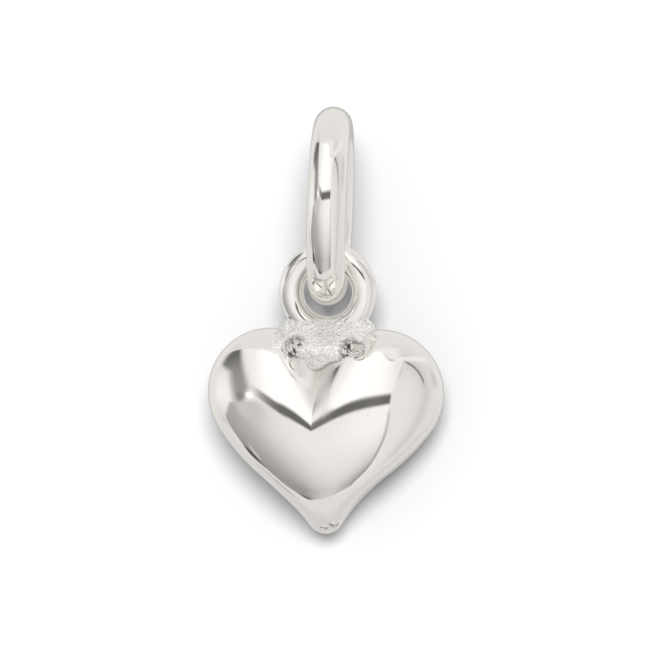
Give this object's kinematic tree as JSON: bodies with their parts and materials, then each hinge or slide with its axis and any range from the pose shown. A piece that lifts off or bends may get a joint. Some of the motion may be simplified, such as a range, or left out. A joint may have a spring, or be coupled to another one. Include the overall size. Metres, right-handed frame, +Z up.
{
  "type": "heart charm",
  "caption": "Polished puffed heart charm hanging by a soldered eye from a round jump ring, for clipping to a bag, wallet, bracelet or key chain.",
  "frame": {"origin": "centre of the jump ring's opening, where the charm is hung", "axes": "+Z up when the charm hangs, +X across the heart to its right lobe as seen from the front, +Y from the front of the heart to its back"},
  "size_m": [0.0061, 0.005, 0.0108],
  "materials": {
    "polished_silver": "mirror polished, faintly warm white metal",
    "solder": "frosted and grainy where it set, smooth where it wets the eye"
  },
  "bodies": {
    "ring": {"jump_ring": "polished_silver"},
    "charm": {"heart_body": "polished_silver", "eye_ring": "polished_silver", "solder_joint": "solder"}
  },
  "joints": [
    {"name": "charm_swing", "type": "hinge", "parent": "ring", "child": "charm", "pos_m": [-0.00007, 0, -0.00216], "axis": [0, 1, 0], "range_deg": [-115, 115]}
  ]
}
